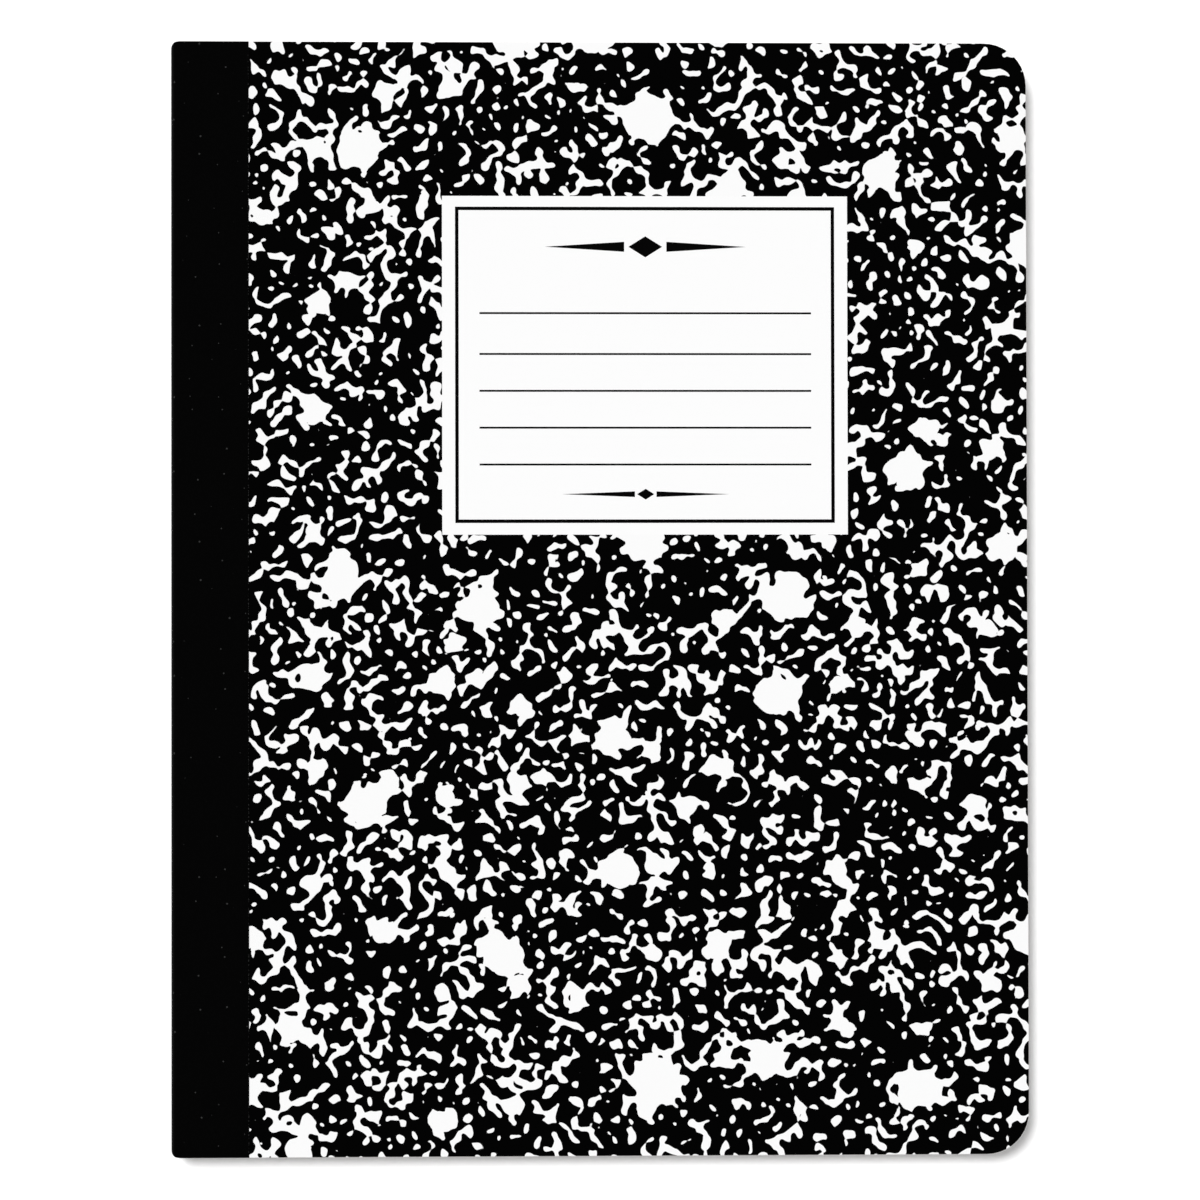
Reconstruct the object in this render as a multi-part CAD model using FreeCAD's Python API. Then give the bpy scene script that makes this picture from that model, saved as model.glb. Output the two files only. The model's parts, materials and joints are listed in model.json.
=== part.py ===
import FreeCAD, Part

import math
import os

# Sewn composition notebook, lying closed on its back cover.
#
# The sheets are folded in half, nested into one thick section and sewn through the fold, cover and
# all, with one lockstitch seam. A cloth tape over the fold hides the seam, and then the whole book is
# trimmed in one go, so that every piece shares the same flat outline.
#
# Frame, in millimetres: +Z up out of the front cover, +Y towards the head, +X from the spine to the
# fore-edge. The origin is the middle of the rectangle that the closed book covers on the table.

# Trimmed book
book_width = 190.5
book_height = 247.65
fore_corner_radius = 9.525
spine_corner_radius = 1.7

# Leaves, two to each folded sheet
leaf_count = 100
leaf_pitch = 0.086
nose_corner_radius = 1.8

# Cover board, and the cloth tape that is glued over its folds and pressed into it
board_thickness = 0.75
fold_clearance = 0.15
tape_thickness = 0.25
tape_proud = 0.10
tape_flap_width = 17.2

# Lockstitch seam through the fold, of thread with a plain eight-sided section
thread_diameter = 0.30
thread_sides = 8
thread_clearance = 0.02
stitch_pitch = 9.525

# Levels through the closed book
block_thickness = leaf_count * leaf_pitch
block_bottom = tape_proud + board_thickness
block_top = block_bottom + block_thickness
book_thickness = block_top + board_thickness + tape_proud
mid_level = book_thickness / 2

# Places across the book, with the tape folded round the board's edge
tape_fold_radius = tape_proud + board_thickness + fold_clearance
spine_x = -book_width / 2
fore_x = book_width / 2
strip_outer_x = spine_x + tape_thickness
strip_inner_x = strip_outer_x + board_thickness
tape_edge_x = spine_x + tape_flap_width
gutter_x = strip_inner_x + block_thickness / 2

# A cover turns about the middle of its board where the tape has pressed it thin
taped_board = board_thickness + tape_proud - tape_thickness
hinge_x = spine_x + tape_fold_radius
hinge_level = block_top + taped_board / 2

# The needle's loops hook the bobbin's loops half way between the strip's groove and the gutter
thread_radius = thread_diameter / 2
groove_radius = thread_radius + thread_clearance
outer_run_x = strip_outer_x + groove_radius
leg_offset = thread_diameter + thread_clearance
hole_radius = leg_offset + groove_radius
gutter_radius = hole_radius + thread_clearance
loop_depth = (gutter_x - outer_run_x + leg_offset) / 2

ACROSS = FreeCAD.Vector(1, 0, 0)
ALONG = FreeCAD.Vector(0, 1, 0)
UP = FreeCAD.Vector(0, 0, 1)


def point(x, z, y=0.0):
    """A place in the book's section, or at y along the book."""
    return FreeCAD.Vector(x, y, z)


def line(start, end):
    return Part.LineSegment(start, end).toShape()


def arc(start, middle, end):
    return Part.Arc(start, middle, end).toShape()


def upside_down(shape):
    """The same shape on the other side of the book's middle level."""
    return shape.mirror(point(0, mid_level), UP)


def trimmed_outline():
    """The flat outline that the trimming leaves, as a wire at level 0, going anticlockwise."""
    corners = [
        (fore_x, book_height / 2, fore_corner_radius, 45),
        (spine_x, book_height / 2, spine_corner_radius, 135),
        (spine_x, -book_height / 2, spine_corner_radius, 225),
        (fore_x, -book_height / 2, fore_corner_radius, 315),
    ]
    rounds = []
    for x, y, radius, outward in corners:
        centre = FreeCAD.Vector(x - math.copysign(radius, x), y - math.copysign(radius, y), 0)
        turns = [math.radians(outward + turn) for turn in (-45, 0, 45)]
        rounds.append([centre + FreeCAD.Vector(math.cos(a), math.sin(a), 0) * radius for a in turns])
    edges = []
    for this_round, next_round in zip(rounds, rounds[1:] + rounds[:1]):
        edges.append(arc(*this_round))
        edges.append(line(this_round[2], next_round[0]))
    return Part.Wire(edges)


def trimmed(shape):
    """What the trimming leaves of a shape that ran past the head and the tail."""
    outline = Part.Face(trimmed_outline())
    outline.translate(UP * -book_thickness)
    return shape.common(outline.extrude(UP * 3 * book_thickness))


def from_section(edges):
    """A closed section of the book, drawn out over its whole height and trimmed."""
    section = Part.Face(Part.Wire(edges))
    section.translate(ALONG * (-book_height / 2))
    return trimmed(section.extrude(ALONG * book_height))


def polygon(corners):
    """The edges of a closed shape with straight sides."""
    return [line(start, end) for start, end in zip(corners, corners[1:] + corners[:1])]


def stitch_places():
    """Where the needle went through, evenly spread about the middle of the book's height."""
    count = int(book_height / stitch_pitch + 1e-6)
    first = -(count - 1) / 2 * stitch_pitch
    return [first + i * stitch_pitch for i in range(count)]


def needle_holes(start_x, end_x):
    return [
        Part.makeCylinder(hole_radius, end_x - start_x, point(start_x, mid_level, y), ACROSS)
        for y in stitch_places()
    ]


def front_cover():
    """Flat board, pressed thinner under the tape, with its fold edge rounded about the hinge."""
    fold_edge_radius = taped_board / 2
    board_top = block_top + board_thickness
    pressed_top = block_top + taped_board
    corners = [
        point(hinge_x, block_top),
        point(fore_x, block_top),
        point(fore_x, board_top),
        point(tape_edge_x, board_top),
        point(tape_edge_x, pressed_top),
        point(hinge_x, pressed_top),
    ]
    edges = [line(start, end) for start, end in zip(corners, corners[1:])]
    fold_edge = point(hinge_x - fold_edge_radius, hinge_level)
    edges.append(arc(corners[-1], fold_edge, corners[0]))
    return from_section(edges)


def cover_spine():
    """The strip of the cover between its two folds, with a groove that takes the seam."""
    bottom = block_bottom + fold_clearance
    top = block_top - fold_clearance
    groove_bottom_x = outer_run_x + groove_radius
    strip = from_section(polygon([
        point(strip_outer_x, bottom),
        point(strip_inner_x, bottom),
        point(strip_inner_x, top),
        point(strip_outer_x, top),
        point(strip_outer_x, mid_level + groove_radius),
        point(groove_bottom_x, mid_level + groove_radius),
        point(groove_bottom_x, mid_level - groove_radius),
        point(strip_outer_x, mid_level - groove_radius),
    ]))
    return strip.cut(needle_holes(strip_outer_x, strip_inner_x))


def gutter_channel():
    """The space round the seam in the middle fold, where the two middle leaves close to a wedge."""
    back_x = gutter_x - gutter_radius
    throat_x = gutter_x + gutter_radius
    return from_section(polygon([
        point(back_x, mid_level - gutter_radius),
        point(throat_x, mid_level - gutter_radius),
        point(throat_x + 2 * gutter_radius, mid_level),
        point(throat_x, mid_level + gutter_radius),
        point(back_x, mid_level + gutter_radius),
    ]))


def page_block():
    """The nested leaves as one solid, with a round-cornered nose, the gutter and the needle holes."""
    nose = min(nose_corner_radius, 0.45 * block_thickness)
    diagonal = nose * (1 - math.sqrt(0.5))
    nose_top = [
        point(strip_inner_x + nose, block_top),
        point(strip_inner_x + diagonal, block_top - diagonal),
        point(strip_inner_x, block_top - nose),
    ]
    nose_bottom = [
        point(strip_inner_x, block_bottom + nose),
        point(strip_inner_x + diagonal, block_bottom + diagonal),
        point(strip_inner_x + nose, block_bottom),
    ]
    block = from_section([
        arc(*nose_top),
        line(nose_top[2], nose_bottom[0]),
        arc(*nose_bottom),
        line(nose_bottom[2], point(fore_x, block_bottom)),
        line(point(fore_x, block_bottom), point(fore_x, block_top)),
        line(point(fore_x, block_top), nose_top[0]),
    ])
    return block.cut([gutter_channel()] + needle_holes(strip_inner_x, gutter_x))


def tape_half_profile(depth):
    """Upper half of the tape's profile at a depth below its outer face, from its edge to the back."""
    radius = tape_fold_radius - depth
    fold_level = book_thickness - tape_fold_radius
    diagonal = radius * math.sqrt(0.5)
    fold = [
        point(hinge_x, fold_level + radius),
        point(hinge_x - diagonal, fold_level + diagonal),
        point(hinge_x - radius, fold_level),
    ]
    return [
        line(point(tape_edge_x, book_thickness - depth), fold[0]),
        arc(*fold),
        line(fold[2], point(hinge_x - radius, mid_level)),
    ]


def spine_tape():
    """One strip of cloth, folded round the back and down on to both covers."""
    edges = tape_half_profile(0) + tape_half_profile(tape_thickness)
    edges.append(line(
        point(tape_edge_x, book_thickness),
        point(tape_edge_x, book_thickness - tape_thickness),
    ))
    edges.append(line(
        point(spine_x, mid_level),
        point(strip_outer_x, mid_level),
    ))
    upper = from_section(Part.__sortEdges__(edges))
    return upper.fuse(upside_down(upper)).removeSplitter()


def sewn_thread(run_x, inward, spreads):
    """A thread that runs along the book at run_x, and dips a loop inward at each needle hole.

    For each hole, spreads gives the way from the loop's first leg to its second.
    """
    route = []
    for y, spread in zip(stitch_places(), spreads):
        mouth = point(run_x, mid_level, y)
        first = mouth - spread * leg_offset
        second = mouth + spread * leg_offset
        route += [first, first + inward * loop_depth, second + inward * loop_depth, second]
    tail = point(route[0].x, route[0].z, -book_height / 2)
    head = point(route[-1].x, route[-1].z, book_height / 2)
    turns = [2 * math.pi * side / thread_sides for side in range(thread_sides)]
    profile = [tail + (ACROSS * math.cos(a) + UP * math.sin(a)) * thread_radius for a in turns]
    path = Part.makePolygon([tail] + route + [head])
    mitred_corners = 1
    return trimmed(path.makePipeShell([Part.Wire(polygon(profile))], True, False, mitred_corners))


def needle_thread():
    """The outer thread: it runs in the strip's groove, and its loops lie flat."""
    return sewn_thread(outer_run_x, ACROSS, [ALONG for _ in stitch_places()])


def bobbin_thread():
    """The inner thread: it runs in the gutter, and its loops stand upright in the needle's loops."""
    spreads = [UP * (-1) ** (i + 1) for i in range(len(stitch_places()))]
    return sewn_thread(gutter_x, ACROSS * -1, spreads)


def main():
    os.makedirs("parts", exist_ok=True)
    cover = front_cover()
    pieces = {
        "front_cover": cover,
        "back_cover": upside_down(cover),
        "cover_spine": cover_spine(),
        "page_block": page_block(),
        "spine_tape": spine_tape(),
        "needle_thread": needle_thread(),
        "bobbin_thread": bobbin_thread(),
    }
    for name, shape in pieces.items():
        shape.exportStep("parts/" + name + ".step")
        print(name, len(shape.Solids), "solid(s),", round(shape.Volume, 2), "mm3")


main()
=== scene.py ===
import json
import math
import random

import bmesh
import bpy
from mathutils import Matrix, Vector


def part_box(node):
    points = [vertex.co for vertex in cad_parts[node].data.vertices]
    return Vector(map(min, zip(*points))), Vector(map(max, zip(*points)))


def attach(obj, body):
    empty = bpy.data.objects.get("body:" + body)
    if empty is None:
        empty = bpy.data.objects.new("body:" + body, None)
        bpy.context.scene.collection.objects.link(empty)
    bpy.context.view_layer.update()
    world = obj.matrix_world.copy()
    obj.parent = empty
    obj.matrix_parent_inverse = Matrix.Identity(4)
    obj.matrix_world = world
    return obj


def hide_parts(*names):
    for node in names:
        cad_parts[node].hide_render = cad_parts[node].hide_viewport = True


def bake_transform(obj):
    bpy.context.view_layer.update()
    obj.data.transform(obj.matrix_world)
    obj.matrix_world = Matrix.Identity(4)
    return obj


# Sewn composition notebook with marbled covers and a black cloth tape, seen from straight above.
# Lengths are metres in the frame of the solids: +X to the fore-edge, +Y to the head, +Z up.

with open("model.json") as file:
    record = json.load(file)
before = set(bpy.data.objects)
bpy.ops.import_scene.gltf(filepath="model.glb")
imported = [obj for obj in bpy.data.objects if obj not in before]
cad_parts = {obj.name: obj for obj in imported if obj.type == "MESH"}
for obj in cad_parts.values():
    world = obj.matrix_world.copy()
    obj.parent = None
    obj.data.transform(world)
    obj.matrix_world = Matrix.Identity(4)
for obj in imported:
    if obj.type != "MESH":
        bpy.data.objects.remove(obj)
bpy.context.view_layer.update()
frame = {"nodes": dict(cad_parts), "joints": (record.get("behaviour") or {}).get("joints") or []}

MM = 0.001

# Book, from the frame
tape_low, tape_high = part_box("spine_tape")
block_low, block_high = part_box("page_block")
strip_low, strip_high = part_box("cover_spine")
board_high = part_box("front_cover")[1]
spine_x = tape_low.x
fore_x = board_high.x
half_height = board_high.y
book_top = tape_high.z
board_top = board_high.z
block_top = block_high.z
block_bottom = block_low.z
mid_level = book_top / 2
tape_edge_x = tape_high.x
tape_thickness = strip_low.x - spine_x
hinges = {joint["child"]: Vector(joint["pos_m"]) for joint in frame["joints"]}
hinge_x = hinges["front"].x
fold_radius = hinge_x - spine_x
fold_level = book_top - fold_radius

# Book, sizes that the frame doesn't give
FORE_CORNER_RADIUS = 9.525 * MM
SPINE_CORNER_RADIUS = 1.7 * MM
NOSE_CORNER_RADIUS = 1.8 * MM
CREASE_RADIUS = 0.15 * MM
SHEET_COUNT = 50
LEAF_THICKNESS = 0.078 * MM
TRIM_UNEVENNESS = 0.08 * MM

# Faces of a sheet, as the places of their materials. On a cover each kind gets an upright strip of the
# texture square, and fills it to the reach below, a share of its height up and down from the middle.
OUTER_FACE, INNER_FACE, CUT_EDGE = 0, 1, 2
TEXTURE_STRIPS = ((0.004, 0.772), (0.780, 0.960), (0.968, 0.998))
FACE_TEXTURE_REACH = 0.495
EDGE_TEXTURE_REACH = 0.49

# Mesh density, and the rounding of sharp edges
CORNER_STEPS = 10
FOLD_STEPS = 8
BOARD_HEIGHT_STEPS = 6
TAPE_HEIGHT_STEPS = 24
LEAF_HEIGHT_STEPS = 3
BOARD_ROUNDING = 0.05 * MM
TAPE_ROUNDING = 0.03 * MM
SHARP_ANGLE = math.radians(35)

# Print on the front cover, in millimetres from the spine edge and down from the head
LABEL = dict(left=60.1, right=150.4, top=34.3, bottom=109.7)
BORDER = dict(left=63.0, right=147.5, top=36.7, bottom=107.1)
BORDER_WIDTH = 0.78
RULE_LEFT, RULE_RIGHT = 68.4, 142.3
RULE_PLACES = (60.4, 69.5, 77.7, 85.9, 94.1)
RULE_WIDTH = 0.44
TITLE_PLACE, TITLE_LENGTH, TITLE_HEIGHT = 45.6, 45.0, 4.7
FOOT_PLACE, FOOT_LENGTH, FOOT_HEIGHT = 100.7, 37.3, 2.4

# Ruling of the pages, in millimetres
LINE_PITCH = 8.73
LINE_WIDTH = 0.28
HEAD_MARGIN = 24.0
SIDE_MARGIN = 31.75
MARGIN_LINE_WIDTH = 0.32

# Camera
CAMERA_DISTANCE = 1.2
PICTURE_WIDTH = 266.75 * MM
CAMERA_LEAN = Vector((-0.0374, -0.0187, 1.0))
CAMERA_ROLL = -0.0018
AIM = Vector((-0.13 * MM, -0.415 * MM, book_top))


def trimmed_y(x):
    """Half the book's height at a place across it, less where the rounded corners cut in."""
    for edge_x, radius in ((fore_x, FORE_CORNER_RADIUS), (spine_x, SPINE_CORNER_RADIUS)):
        into_corner = radius - abs(edge_x - x)
        if into_corner > 0:
            return half_height - radius + math.sqrt(max(radius**2 - into_corner**2, 0))
    return half_height


def flat_places(start_x, end_x=fore_x):
    """Places across a flat face from start_x to the fore-edge, close together round the corner."""
    turns = [math.pi / 2 * step / CORNER_STEPS for step in range(CORNER_STEPS + 1)]
    corner_x = fore_x - FORE_CORNER_RADIUS
    return [start_x] + [corner_x + (end_x - corner_x) * math.sin(turn) for turn in turns]


def quarter(centre, radius, start_turn, end_turn):
    """Points of an arc in the section, with its turns in degrees."""
    x, z = centre
    shares = [step / FOLD_STEPS for step in range(FOLD_STEPS + 1)]
    turns = [math.radians(start_turn + (end_turn - start_turn) * share) for share in shares]
    return [(x + radius * math.cos(turn), z + radius * math.sin(turn)) for turn in turns]


def thick_sheet(mesh, outer, inner, height_steps, gap=0.0):
    """Adds a closed sheet between two matching section lines, drawn out to a gap inside the trim."""
    shares = [2 * step / height_steps - 1 for step in range(height_steps + 1)]
    rows = [
        [
            [mesh.verts.new((x, share * (trimmed_y(x + gap) - gap), z)) for share in shares]
            for x, z in line
        ]
        for line in (outer, inner)
    ]

    def face(material, *corners):
        made = mesh.faces.new(corners)
        made.material_index = material
        made.smooth = True

    outer_rows, inner_rows = rows
    for a, b, c, d in zip(outer_rows, outer_rows[1:], inner_rows, inner_rows[1:]):
        for step in range(height_steps):
            face(OUTER_FACE, a[step], b[step], b[step + 1], a[step + 1])
            face(INNER_FACE, c[step + 1], d[step + 1], d[step], c[step])
        face(CUT_EDGE, a[0], c[0], d[0], b[0])
        face(CUT_EDGE, a[-1], b[-1], d[-1], c[-1])
    for outer_end, inner_end in ((outer_rows[0], inner_rows[0]), (outer_rows[-1], inner_rows[-1])):
        for step in range(height_steps):
            face(CUT_EDGE, outer_end[step], outer_end[step + 1], inner_end[step + 1], inner_end[step])


def round_edges(mesh, radius):
    """Rounds the sharp edges slightly, but not where two halves meet in the middle of the back.

    A rounding takes its material from the faces beside it.
    """
    sharp = [
        edge
        for edge in mesh.edges
        if edge.calc_face_angle(0) > SHARP_ANGLE
        and max(abs(vert.co.z - mid_level) for vert in edge.verts) > radius
    ]
    from_beside = -1
    bmesh.ops.bevel(
        mesh,
        geom=sharp,
        offset=radius,
        segments=2,
        affect="EDGES",
        clamp_overlap=True,
        material=from_beside,
    )


def finished_piece(name, mesh, materials):
    """Turns a mesh into a piece of the scene."""
    data = bpy.data.meshes.new(name)
    mesh.to_mesh(data)
    mesh.free()
    data.set_sharp_from_angle(angle=SHARP_ANGLE)
    piece = bpy.data.objects.new(name, data)
    bpy.context.scene.collection.objects.link(piece)
    for material in materials:
        data.materials.append(material)
    return piece


def along_section(x, z):
    """How far a place is along the cover's section, from the middle of the back to the fore-edge."""
    return x - spine_x + min(abs(z - mid_level), fold_level - mid_level)


def share_of_board(x, z):
    """How far a place is through the board's thickness, from 0 inside to 1 outside."""
    flat_share = (abs(z - mid_level) - (block_top - mid_level)) / (board_top - block_top)
    strip_share = (strip_high.x - x) / (strip_high.x - strip_low.x)
    return max(flat_share, strip_share)


def unfold_cover(mesh):
    """Lays the cover's faces out flat on its texture square, the printed face as large as fits.

    The cut edges fill a narrow strip: from the middle of the back along the head or the tail, and
    then along the fore-edge to its middle.
    """
    layer = mesh.loops.layers.uv.new("OFBake")
    reach = along_section(fore_x, book_top)
    for face in mesh.faces:
        low, high = TEXTURE_STRIPS[face.material_index]
        towards_head = face.calc_center_median().y
        for corner in face.loops:
            x, y, z = corner.vert.co
            across = along_section(x, z) / reach
            up = 0.5 + FACE_TEXTURE_REACH * y / half_height
            if face.material_index == CUT_EDGE:
                walked = (across * reach + half_height - abs(y)) / (reach + half_height)
                across = share_of_board(x, z)
                up = 0.5 + math.copysign(EDGE_TEXTURE_REACH * (1 - walked), towards_head)
            corner[layer].uv = (low + (high - low) * across, up)


def on_side(points, side):
    """The same section line on the front of the book, or mirrored on to its back."""
    return [(x, z if side == "front" else book_top - z) for x, z in points]


def cover_section():
    """Outer and inner line of the cover's front half: up its spine strip, round the fold, and out."""
    crease = (strip_high.x + CREASE_RADIUS, block_top - CREASE_RADIUS)
    step_end_x = tape_edge_x + 0.02 * MM
    flat_start_x = tape_edge_x + 1 * MM
    outer = [(strip_low.x, mid_level)]
    outer += quarter((hinge_x, fold_level), fold_radius - tape_thickness, 180, 90)
    outer += [(tape_edge_x, book_top - tape_thickness), (step_end_x, board_top)]
    inner = [(strip_high.x, mid_level)]
    inner += quarter(crease, CREASE_RADIUS, 180, 90)
    inner += [(tape_edge_x, block_top), (step_end_x, block_top)]
    for x in flat_places(flat_start_x):
        outer.append((x, board_top))
        inner.append((x, block_top))
    return outer, inner


def tape_section():
    """Outer and inner line of the tape's front half, from the middle of the back to its edge."""
    flap_places = [hinge_x + share * (tape_edge_x - hinge_x) for share in (0.05, 0.12, 0.3, 1)]

    def line(depth):
        turned = quarter((hinge_x, fold_level), fold_radius - depth, 180, 90)
        flap = [(x, book_top - depth) for x in flap_places]
        return [(spine_x + depth, mid_level)] + turned + flap

    return line(0), line(tape_thickness)


def bend_with_cover(piece):
    """Bakes a piece's placing into its mesh."""
    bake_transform(piece)


def make_cover(side, materials):
    """One half of the board: a cover with its half of the strip behind the tape."""
    outer, inner = cover_section()
    mesh = bmesh.new()
    thick_sheet(mesh, on_side(outer, side), on_side(inner, side), BOARD_HEIGHT_STEPS)
    bmesh.ops.recalc_face_normals(mesh, faces=mesh.faces)
    round_edges(mesh, BOARD_ROUNDING)
    unfold_cover(mesh)
    piece = finished_piece(side + "_cover_board", mesh, materials)
    bend_with_cover(piece)
    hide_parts(side + "_cover", "cover_spine")


def make_tape(side, materials):
    """One half of the tape, on the cover that it is glued to."""
    outer, inner = tape_section()
    mesh = bmesh.new()
    thick_sheet(mesh, on_side(outer, side), on_side(inner, side), TAPE_HEIGHT_STEPS)
    bmesh.ops.recalc_face_normals(mesh, faces=mesh.faces)
    round_edges(mesh, TAPE_ROUNDING)
    piece = finished_piece("tape_" + side, mesh, materials)
    bend_with_cover(piece)
    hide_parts("spine_tape")


def sheet_section(number, fore_gap):
    """Outer and inner line of one folded sheet, from its upper fore-edge round its fold and back."""
    half_block = (block_top - block_bottom) / 2
    pitch = half_block / SHEET_COUNT
    clearance = (pitch - LEAF_THICKNESS) / 2
    past_nose = 20 * MM

    def line(inset):
        half = half_block - inset
        nose_x = strip_high.x + inset
        radius = NOSE_CORNER_RADIUS * half / half_block
        places = flat_places(nose_x + radius + past_nose, fore_x - fore_gap)
        top = [(x, mid_level + half) for x in reversed(places)]
        top += quarter((nose_x + radius, mid_level + half - radius), radius, 90, 180)
        bottom = [(x, 2 * mid_level - z) for x, z in reversed(top)]
        return top + bottom

    first = number * pitch + clearance
    return line(first), line(first + LEAF_THICKNESS)


def make_sheets(name, numbers, materials):
    """Nested folded sheets, trimmed with the small unevenness that a cut stack keeps."""
    uneven = random.Random(name)
    mesh = bmesh.new()
    for number in numbers:
        gap = uneven.uniform(0.0, TRIM_UNEVENNESS)
        outer, inner = sheet_section(number, gap)
        thick_sheet(mesh, outer, inner, LEAF_HEIGHT_STEPS, gap)
    bmesh.ops.recalc_face_normals(mesh, faces=mesh.faces)
    piece = finished_piece(name, mesh, materials)
    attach(piece, "pages")
    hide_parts("page_block")


class Finish:
    """A node material, with short calls for the nodes that it is built from."""

    def __init__(self, name):
        self.material = bpy.data.materials.new(name)
        self.material.use_nodes = True
        self.tree = self.material.node_tree
        self.surface = self.tree.nodes["Principled BSDF"]

    def node(self, kind, **settings):
        made = self.tree.nodes.new(kind)
        for name, value in settings.items():
            setattr(made, name, value)
        return made

    def feed(self, socket, value):
        if isinstance(value, bpy.types.NodeSocket):
            self.tree.links.new(value, socket)
        else:
            socket.default_value = value

    def math(self, operation, *values, clamp=False):
        made = self.node("ShaderNodeMath", operation=operation, use_clamp=clamp)
        for socket, value in zip(made.inputs, values):
            self.feed(socket, value)
        return made.outputs[0]

    def vector(self, operation, *values, scale=None):
        made = self.node("ShaderNodeVectorMath", operation=operation)
        for socket, value in zip(made.inputs, values):
            self.feed(socket, value)
        if scale is not None:
            made.inputs["Scale"].default_value = scale
        return made.outputs[0]

    def millimetres(self):
        """The place that is shaded, in millimetres of the frame."""
        metres = self.node("ShaderNodeTexCoord").outputs["Object"]
        return self.vector("SCALE", metres, scale=1 / MM)

    def parts(self, vector):
        made = self.node("ShaderNodeSeparateXYZ")
        self.feed(made.inputs[0], vector)
        return made.outputs

    def noise(self, place, scale, detail=0.0, output="Fac", flat=True):
        made = self.node("ShaderNodeTexNoise", noise_dimensions="2D" if flat else "3D")
        self.feed(made.inputs["Vector"], place)
        made.inputs["Scale"].default_value = scale
        made.inputs["Detail"].default_value = detail
        return made.outputs[output]

    def spread(self, value, amount):
        """A value from 0 to 1 turned into one from minus half the amount to plus half of it."""
        return self.math("MULTIPLY", self.math("SUBTRACT", value, 0.5), amount)

    def total(self, *values):
        result = values[0]
        for value in values[1:]:
            result = self.math("ADD", result, value)
        return result

    def mix(self, share, low, high):
        made = self.node("ShaderNodeMix", data_type="RGBA")
        self.feed(made.inputs["Factor"], share)
        colours = [socket for socket in made.inputs if socket.type == "RGBA"]
        self.feed(colours[0], low)
        self.feed(colours[1], high)
        return [socket for socket in made.outputs if socket.type == "RGBA"][0]

    def bump(self, height, distance, strength=1.0):
        made = self.node("ShaderNodeBump")
        made.inputs["Strength"].default_value = strength
        made.inputs["Distance"].default_value = distance
        self.feed(made.inputs["Height"], height)
        self.feed(self.surface.inputs["Normal"], made.outputs["Normal"])

    def coat(self, **sockets):
        """Sets the surface's sockets, and gives the material."""
        for name, value in sockets.items():
            self.feed(self.surface.inputs[name.replace("_", " ")], value)
        return self.material


def grey(level, warmth=0.0):
    """A grey, or with some warmth a cream: green and blue are lower than red."""
    return (level, level * (1 - warmth / 2), level * (1 - warmth), 1)


def smooth_waves(finish, place, spacing):
    """Blobs and worms of about one size, from 0 to 1, running in no particular direction."""
    waves = finish.node("ShaderNodeTexGabor")
    finish.feed(waves.inputs["Vector"], place)
    waves.inputs["Scale"].default_value = 1 / spacing
    waves.inputs["Frequency"].default_value = 1.0
    waves.inputs["Anisotropy"].default_value = 0.0
    return waves.outputs["Value"]


def splotches(finish, place, cell, least, spread, shift):
    """A raised round patch in each cell of an uneven grid, and a little less than zero outside them.

    A patch's radius is drawn between least and least plus spread. A radius below zero makes no patch.
    """
    cells = finish.node("ShaderNodeTexVoronoi", voronoi_dimensions="2D", feature="F1")
    finish.feed(cells.inputs["Vector"], finish.vector("ADD", place, shift))
    cells.inputs["Scale"].default_value = 1 / cell
    cells.inputs["Randomness"].default_value = 0.85
    away = finish.math("MULTIPLY", cells.outputs["Distance"], cell)
    drawn = finish.parts(cells.outputs["Color"])[0]
    radius = finish.math("MULTIPLY_ADD", drawn, spread, least)
    steepness, lowest, highest = 0.30, -0.02, 0.8
    inside = finish.math("MULTIPLY", finish.math("SUBTRACT", radius, away), steepness)
    return finish.math("MINIMUM", finish.math("MAXIMUM", inside, lowest), highest)


def marble(finish, millimetres, seed):
    """White strokes, dots and ragged splotches on black: 1 where the marbling is white."""
    flat = finish.vector("MULTIPLY", finish.vector("ADD", millimetres, seed), (1, 1, 0))
    elsewhere = finish.vector("ADD", flat, (40, 9, 0))
    wander = finish.noise(flat, scale=0.3, detail=1.0, output="Color")
    wander = finish.vector("SUBTRACT", wander, (0.5, 0.5, 0.5))
    wander = finish.vector("MULTIPLY", wander, (0.9, 0.9, 0))
    place = finish.vector("ADD", flat, wander)

    strokes_level, dip_steepness, deepest_dip = 0.70, 8.0, 0.42
    contour = finish.math("SUBTRACT", finish.noise(place, scale=0.24), 0.5)
    dip = finish.math("MULTIPLY", finish.math("MULTIPLY", contour, contour), dip_steepness)
    level = finish.total(
        finish.math("SUBTRACT", strokes_level, finish.math("MINIMUM", dip, deepest_dip)),
        finish.spread(smooth_waves(finish, place, spacing=3.5), amount=1.05),
        finish.spread(finish.noise(flat, scale=0.06, detail=1.0), amount=0.3),
        finish.spread(finish.noise(elsewhere, scale=0.22), amount=0.45),
        splotches(finish, place, cell=31.0, least=2.4, spread=4.0, shift=(13, 7, 0)),
        splotches(finish, place, cell=15.0, least=-1.7, spread=5.0, shift=(5, 31, 0)),
    )
    threshold, crispness = 0.655, 90
    above = finish.math("SUBTRACT", level, threshold)
    return finish.math("MULTIPLY_ADD", above, crispness, 0.5, clamp=True)


def box_mask(finish, across, down, left, right, top, bottom):
    """1 inside an upright rectangle of the print, and 0 outside it."""
    off_x = finish.math("ABSOLUTE", finish.math("SUBTRACT", across, (left + right) / 2))
    off_y = finish.math("ABSOLUTE", finish.math("SUBTRACT", down, (top + bottom) / 2))
    return finish.math(
        "MULTIPLY",
        finish.math("LESS_THAN", off_x, (right - left) / 2),
        finish.math("LESS_THAN", off_y, (bottom - top) / 2),
    )


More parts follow.
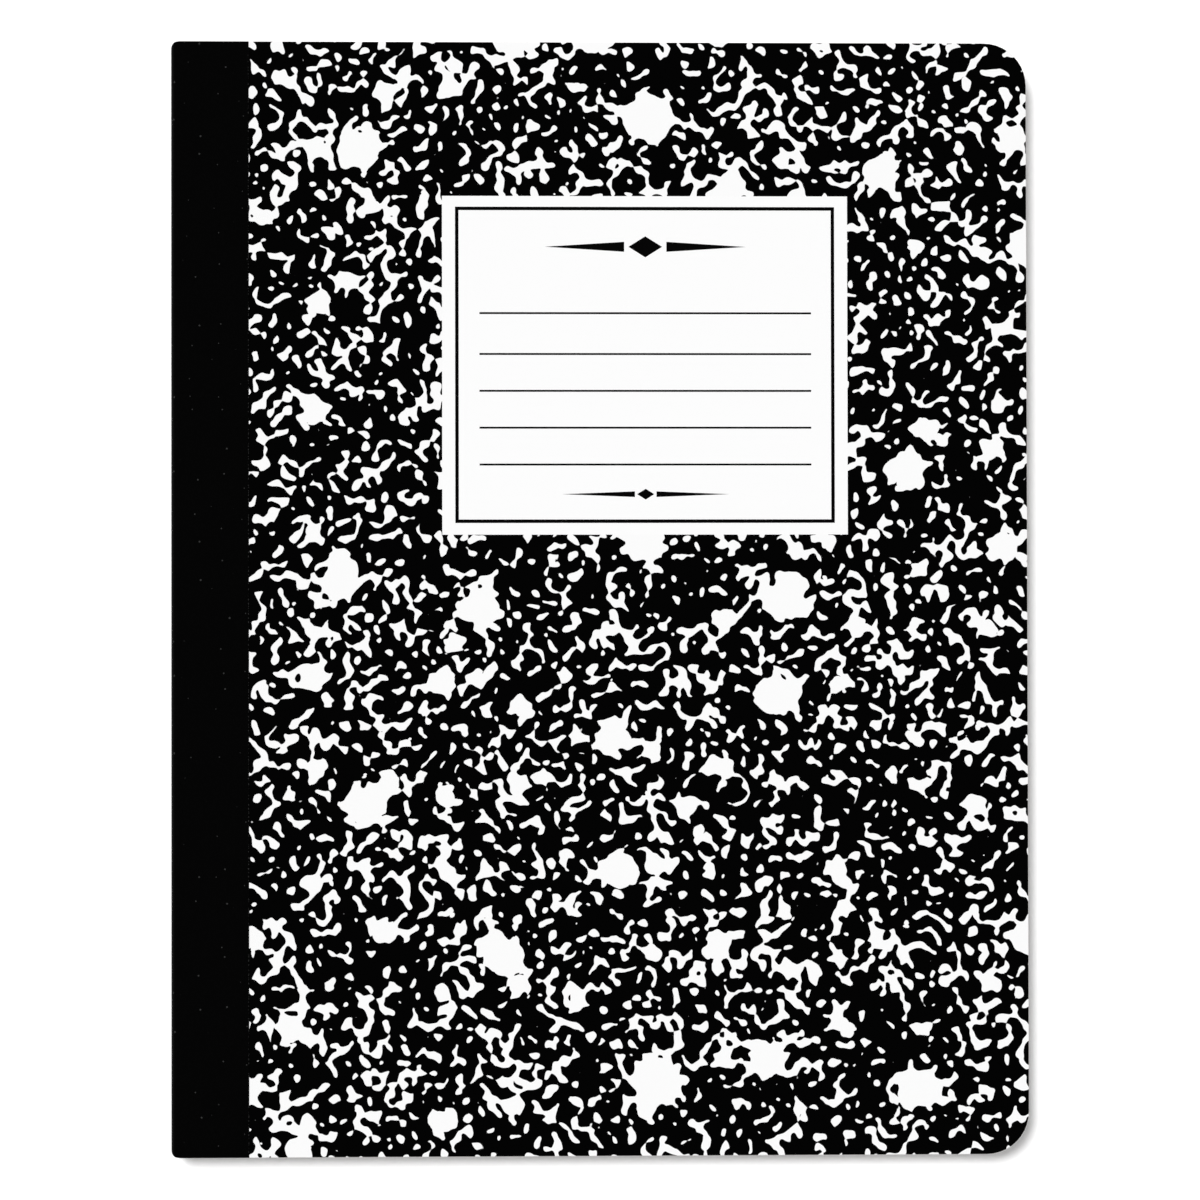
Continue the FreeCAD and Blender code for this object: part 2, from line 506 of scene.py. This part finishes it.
def swelled_rule(finish, across, down, place, length, height):
    """A printer's plain ornament: a lozenge, and to each side a line that thins out."""
    centre = (RULE_LEFT + RULE_RIGHT) / 2
    off_x = finish.math("ABSOLUTE", finish.math("SUBTRACT", across, centre))
    off_x = finish.math("DIVIDE", off_x, length / 2)
    off_y = finish.math("ABSOLUTE", finish.math("SUBTRACT", down, place))
    lozenge_reach = height / length * 1.6
    bar_start = lozenge_reach * 1.25
    thickest = height * 0.30

    swell = finish.math("MULTIPLY", finish.math("SUBTRACT", 1.0, off_x), thickest)
    bar = finish.math("LESS_THAN", off_y, swell)
    bar = finish.math("MULTIPLY", bar, finish.math("GREATER_THAN", off_x, bar_start))
    slope_x = finish.math("DIVIDE", off_x, lozenge_reach)
    slope_y = finish.math("DIVIDE", off_y, height / 2)
    lozenge = finish.math("LESS_THAN", finish.math("ADD", slope_x, slope_y), 1.0)
    return finish.math("MAXIMUM", bar, lozenge)


def title_panel(finish, millimetres, colour):
    """Prints the white title panel, its border and its lines over a colour."""
    x, y, _ = finish.parts(millimetres)
    across = finish.math("SUBTRACT", x, spine_x / MM)
    down = finish.math("SUBTRACT", half_height / MM, y)
    inner_border = dict(
        left=BORDER["left"] + BORDER_WIDTH,
        right=BORDER["right"] - BORDER_WIDTH,
        top=BORDER["top"] + BORDER_WIDTH,
        bottom=BORDER["bottom"] - BORDER_WIDTH,
    )
    ink = finish.math(
        "SUBTRACT",
        box_mask(finish, across, down, **BORDER),
        box_mask(finish, across, down, **inner_border),
    )
    for place in RULE_PLACES:
        top, bottom = place - RULE_WIDTH / 2, place + RULE_WIDTH / 2
        rule = box_mask(finish, across, down, RULE_LEFT, RULE_RIGHT, top, bottom)
        ink = finish.math("MAXIMUM", ink, rule)
    for place, length, height in (
        (TITLE_PLACE, TITLE_LENGTH, TITLE_HEIGHT),
        (FOOT_PLACE, FOOT_LENGTH, FOOT_HEIGHT),
    ):
        ink = finish.math("MAXIMUM", ink, swelled_rule(finish, across, down, place, length, height))
    colour = finish.mix(box_mask(finish, across, down, **LABEL), colour, grey(0.89))
    return finish.mix(ink, colour, grey(0.0015))


def cover_print(name, seed, with_panel):
    """Varnished print on the outer face of a cover."""
    finish = Finish(name)
    millimetres = finish.millimetres()
    black, white = grey(0.0007), grey(0.88)
    colour = finish.mix(marble(finish, millimetres, seed), black, white)
    if with_panel:
        colour = title_panel(finish, millimetres, colour)
    fibres = finish.noise(millimetres, scale=2.2, detail=2.0)
    finish.bump(fibres, distance=0.004 * MM, strength=0.6)
    return finish.coat(
        Base_Color=colour,
        Roughness=finish.math("MULTIPLY_ADD", fibres, 0.06, 0.13),
        Specular_IOR_Level=0.16,
    )


def raw_board(name, level):
    """Uncoated board with a faint fibrous mottle."""
    finish = Finish(name)
    millimetres = finish.millimetres()
    mottle = finish.noise(millimetres, scale=0.8, detail=4.0, flat=False)
    fibres = finish.noise(millimetres, scale=6.0, detail=3.0, flat=False)
    colour = finish.mix(mottle, grey(level * 0.94, warmth=0.05), grey(level, warmth=0.03))
    finish.bump(fibres, distance=0.01 * MM, strength=0.5)
    return finish.coat(Base_Color=colour, Roughness=0.8, Specular_IOR_Level=0.3)


def cut_board():
    """Cut edge of the board: pressed plies of darker and paler grey."""
    finish = Finish("cut_board")
    millimetres = finish.millimetres()
    stretched = finish.vector("MULTIPLY", millimetres, (1.2, 1.2, 14.0))
    plies = finish.noise(stretched, scale=1.0, detail=3.0, flat=False)
    colour = finish.mix(plies, grey(0.42, warmth=0.08), grey(0.74, warmth=0.06))
    finish.bump(plies, distance=0.02 * MM, strength=0.6)
    return finish.coat(Base_Color=colour, Roughness=0.9, Specular_IOR_Level=0.2)


def ruled_lines(finish, y):
    """1 on the blue lines that cross a page below its head margin, and 0 off them."""
    down = finish.math("SUBTRACT", half_height / MM, y)
    row = finish.math("DIVIDE", finish.math("SUBTRACT", down, HEAD_MARGIN), LINE_PITCH)
    on_line = finish.math("LESS_THAN", finish.math("FRACT", row), LINE_WIDTH / LINE_PITCH)
    below_margin = finish.math("GREATER_THAN", row, -0.5)
    return finish.math("MULTIPLY", on_line, below_margin)


def margin_line(finish, x, place):
    """1 on a line that runs down the page at a place across it, and 0 off it."""
    off = finish.math("ABSOLUTE", finish.math("SUBTRACT", x, place))
    return finish.math("LESS_THAN", off, MARGIN_LINE_WIDTH / 2)


def ruled_paper():
    """Page with blue lines from edge to edge, and a red margin line.

    An opened front cover shows a right-hand page, with its margin by the spine. An opened back cover
    shows a left-hand page, with its margin by the fore-edge.
    """
    finish = Finish("ruled_paper")
    millimetres = finish.millimetres()
    x, y, z = finish.parts(millimetres)
    front_half = finish.math("GREATER_THAN", z, mid_level / MM)
    back_half = finish.math("SUBTRACT", 1.0, front_half)
    margin = finish.math(
        "ADD",
        finish.math("MULTIPLY", margin_line(finish, x, spine_x / MM + SIDE_MARGIN), front_half),
        finish.math("MULTIPLY", margin_line(finish, x, fore_x / MM - SIDE_MARGIN), back_half),
    )
    cloudy = finish.noise(millimetres, scale=0.25, detail=3.0, flat=False)
    fibres = finish.noise(millimetres, scale=5.0, detail=2.0, flat=False)
    blue, red = (0.22, 0.42, 0.72, 1), (0.78, 0.18, 0.22, 1)
    colour = finish.mix(cloudy, grey(0.80, warmth=0.03), grey(0.86, warmth=0.02))
    colour = finish.mix(finish.math("MULTIPLY", ruled_lines(finish, y), 0.75), colour, blue)
    colour = finish.mix(finish.math("MULTIPLY", margin, 0.8), colour, red)
    finish.bump(fibres, distance=0.006 * MM, strength=0.5)
    return finish.coat(Base_Color=colour, Roughness=0.75, Specular_IOR_Level=0.3)


def cut_paper():
    """Trimmed edges of the leaves, with soft darker bands of painted shade, and the ends of the ruled
    lines as ticks.
    """
    finish = Finish("cut_paper")
    millimetres = finish.millimetres()
    y = finish.parts(millimetres)[1]
    along_leaves = finish.vector("MULTIPLY", millimetres, (0.15, 0.15, 9.0))
    leaves = finish.noise(along_leaves, scale=1.0, detail=2.0, flat=False)
    along_bands = finish.vector("MULTIPLY", millimetres, (0.012, 0.012, 1.1))
    bands = finish.noise(along_bands, scale=1.0, detail=3.0, flat=False)
    # Soft darker bands across the edge: painted shade, as falls in the gaps between the leaves.
    shade_between_leaves = finish.math("MULTIPLY_ADD", bands, 1.4, -0.45, clamp=True)
    ticks = finish.math("MULTIPLY", ruled_lines(finish, y), finish.math("MULTIPLY", leaves, leaves))
    blue = (0.35, 0.48, 0.70, 1)
    colour = finish.mix(leaves, grey(0.70, warmth=0.06), grey(0.86, warmth=0.04))
    colour = finish.mix(shade_between_leaves, colour, grey(0.62, warmth=0.08))
    colour = finish.mix(finish.math("MULTIPLY", ticks, 0.6), colour, blue)
    finish.bump(leaves, distance=0.05 * MM, strength=0.5)
    return finish.coat(Base_Color=colour, Roughness=0.9, Specular_IOR_Level=0.2)


def book_cloth():
    """Black cloth tape: a fine coated weave with pinholes here and there and a frayed cut edge."""
    finish = Finish("book_cloth")
    millimetres = finish.millimetres()
    x, y, z = finish.parts(millimetres)
    round_book = finish.math("ADD", x, z)
    threads_per_mm = 2.4
    turn = 2 * math.pi * threads_per_mm
    along = finish.math("SINE", finish.math("MULTIPLY", y, turn))
    across = finish.math("SINE", finish.math("MULTIPLY", round_book, turn))
    weave = finish.math("MULTIPLY", along, across)
    pebble = finish.noise(millimetres, scale=1.6, detail=3.0, flat=False)
    height = finish.total(finish.math("MULTIPLY", weave, 0.25), pebble)
    finish.bump(height, distance=0.03 * MM, strength=0.7)

    cell, largest_pinhole = 6.0, 0.22
    spots = finish.node("ShaderNodeTexVoronoi", voronoi_dimensions="2D", feature="F1")
    unrolled = finish.node("ShaderNodeCombineXYZ")
    finish.feed(unrolled.inputs["X"], round_book)
    finish.feed(unrolled.inputs["Y"], y)
    finish.feed(spots.inputs["Vector"], unrolled.outputs[0])
    spots.inputs["Scale"].default_value = 1 / cell
    drawn = finish.parts(spots.outputs["Color"])[0]
    radius = finish.math("MULTIPLY", drawn, largest_pinhole / cell)
    pinhole = finish.math("LESS_THAN", spots.outputs["Distance"], radius)

    fray_width, fray_from = 0.16, 0.58
    fray = finish.noise(millimetres, scale=2.2, detail=1.0)
    frayed = finish.math(
        "MULTIPLY",
        finish.math("GREATER_THAN", x, tape_edge_x / MM - fray_width),
        finish.math("GREATER_THAN", fray, fray_from),
    )
    colour = finish.mix(pebble, grey(0.0003), grey(0.0009))
    colour = finish.mix(pinhole, colour, grey(0.03))
    colour = finish.mix(frayed, colour, grey(0.025))
    return finish.coat(Base_Color=colour, Roughness=0.6, Specular_IOR_Level=0.10)


def sewing_thread():
    """White cotton thread with its twist, paler on the raised plies and darker in the grooves as
    painted light and shade.
    """
    finish = Finish("sewing_thread")
    millimetres = finish.millimetres()
    turn_per_mm = 18.0
    slant = finish.total(*finish.parts(millimetres))
    twist = finish.math("SINE", finish.math("MULTIPLY", slant, turn_per_mm))
    # Paler where the twist is raised and darker in its grooves: painted light and shade.
    painted_twist_shading = finish.math("MULTIPLY_ADD", twist, 0.5, 0.5)
    colour = finish.mix(painted_twist_shading, grey(0.62, warmth=0.06), grey(0.80, warmth=0.04))
    finish.bump(twist, distance=0.03 * MM, strength=0.8)
    return finish.coat(Base_Color=colour, Roughness=0.7)


def make_floor():
    """Plain white table that shows the book's shadow."""
    reach, drop, glow = 6.0, 0.02 * MM, 0.22
    mesh = bpy.data.meshes.new("floor")
    corners = [(-reach, -reach), (reach, -reach), (reach, reach), (-reach, reach)]
    mesh.from_pydata([(x, y, -drop) for x, y in corners], [], [(0, 1, 2, 3)])
    floor = bpy.data.objects.new("floor", mesh)
    bpy.context.scene.collection.objects.link(floor)
    finish = Finish("white_table")
    path = finish.node("ShaderNodeLightPath")
    seen = finish.math("MAXIMUM", path.outputs["Is Camera Ray"], path.outputs["Is Glossy Ray"])
    seen = finish.math("MAXIMUM", seen, path.outputs["Is Transmission Ray"])
    finish.coat(
        Base_Color=grey(0.86),
        Roughness=0.9,
        Specular_IOR_Level=0.0,
        Emission_Color=grey(1.0),
        Emission_Strength=finish.math("MULTIPLY", seen, glow),
    )
    mesh.materials.append(finish.material)


def make_lights():
    """Soft light from high over the spine and the head, and a weaker, lower one beside it.

    The lamps don't mirror in the varnish and the cloth, as through a polarising filter.
    """
    for name, strength, softness, direction in (
        ("key", 2.83, 15, (-0.25, 0.23, 1.0)),
        ("fill", 0.40, 40, (-0.9, 0.8, 1.0)),
    ):
        lamp = bpy.data.lights.new(name, "SUN")
        lamp.energy = strength
        lamp.angle = math.radians(softness)
        holder = bpy.data.objects.new(name, lamp)
        holder.visible_glossy = False
        holder.rotation_euler = Vector(direction).to_track_quat("Z", "Y").to_euler()
        bpy.context.scene.collection.objects.link(holder)


def make_world():
    """White behind everything, and a dim surround that is brighter near the horizon."""
    world = bpy.data.worlds.new("studio")
    bpy.context.scene.world = world
    world.use_nodes = True
    nodes, links = world.node_tree.nodes, world.node_tree.links
    background = nodes["Background"]
    direction = nodes.new("ShaderNodeTexCoord").outputs["Generated"]
    height = nodes.new("ShaderNodeSeparateXYZ")
    links.new(direction, height.inputs[0])
    fade = nodes.new("ShaderNodeMapRange")
    links.new(height.outputs["Z"], fade.inputs["Value"])
    fade.inputs["From Min"].default_value = 0.15
    fade.inputs["From Max"].default_value = 0.85
    fade.inputs["To Min"].default_value = 0.55
    fade.inputs["To Max"].default_value = 0.03
    seen = nodes.new("ShaderNodeLightPath").outputs["Is Camera Ray"]
    strength = nodes.new("ShaderNodeMath")
    strength.operation = "MAXIMUM"
    links.new(fade.outputs["Result"], strength.inputs[0])
    links.new(seen, strength.inputs[1])
    links.new(strength.outputs[0], background.inputs["Strength"])
    background.inputs["Color"].default_value = (1, 1, 1, 1)


def make_camera():
    """Looks straight down on the book, from very slightly towards its spine and tail."""
    lens = bpy.data.cameras.new("camera")
    camera = bpy.data.objects.new("camera", lens)
    bpy.context.scene.collection.objects.link(camera)
    bpy.context.scene.camera = camera
    backward = CAMERA_LEAN.normalized()
    rightward = Vector((0, 1, 0)).cross(backward).normalized()
    upward = backward.cross(rightward)
    camera.location = AIM + backward * CAMERA_DISTANCE
    level = Matrix((rightward, upward, backward)).transposed()
    camera.rotation_euler = (level @ Matrix.Rotation(CAMERA_ROLL, 3, "Z")).to_euler()
    lens.sensor_fit = "HORIZONTAL"
    lens.lens = lens.sensor_width * CAMERA_DISTANCE / PICTURE_WIDTH
    lens.clip_end = 50


edge = cut_board()
inside = raw_board("inside_board", 0.78)
front_print = cover_print("marbled_front", (310, 120, 0), with_panel=True)
back_print = cover_print("marbled_back", (-540, 270, 0), with_panel=False)
make_cover("front", [front_print, inside, edge])
make_cover("back", [back_print, inside, edge])
cloth = book_cloth()
make_tape("front", [cloth, cloth, cloth])
make_tape("back", [cloth, cloth, cloth])
page_face = ruled_paper()
page_edge = cut_paper()
make_sheets("outer_sheet", range(1), [page_face, page_face, page_edge])
make_sheets("inner_sheets", range(1, SHEET_COUNT), [page_face, page_face, page_edge])

thread = sewing_thread()
for node in ("needle_thread", "bobbin_thread"):
    frame["nodes"][node].data.materials.clear()
    frame["nodes"][node].data.materials.append(thread)

bpy.context.scene.view_settings.view_transform = "Standard"
make_floor()
make_lights()
make_world()
make_camera()
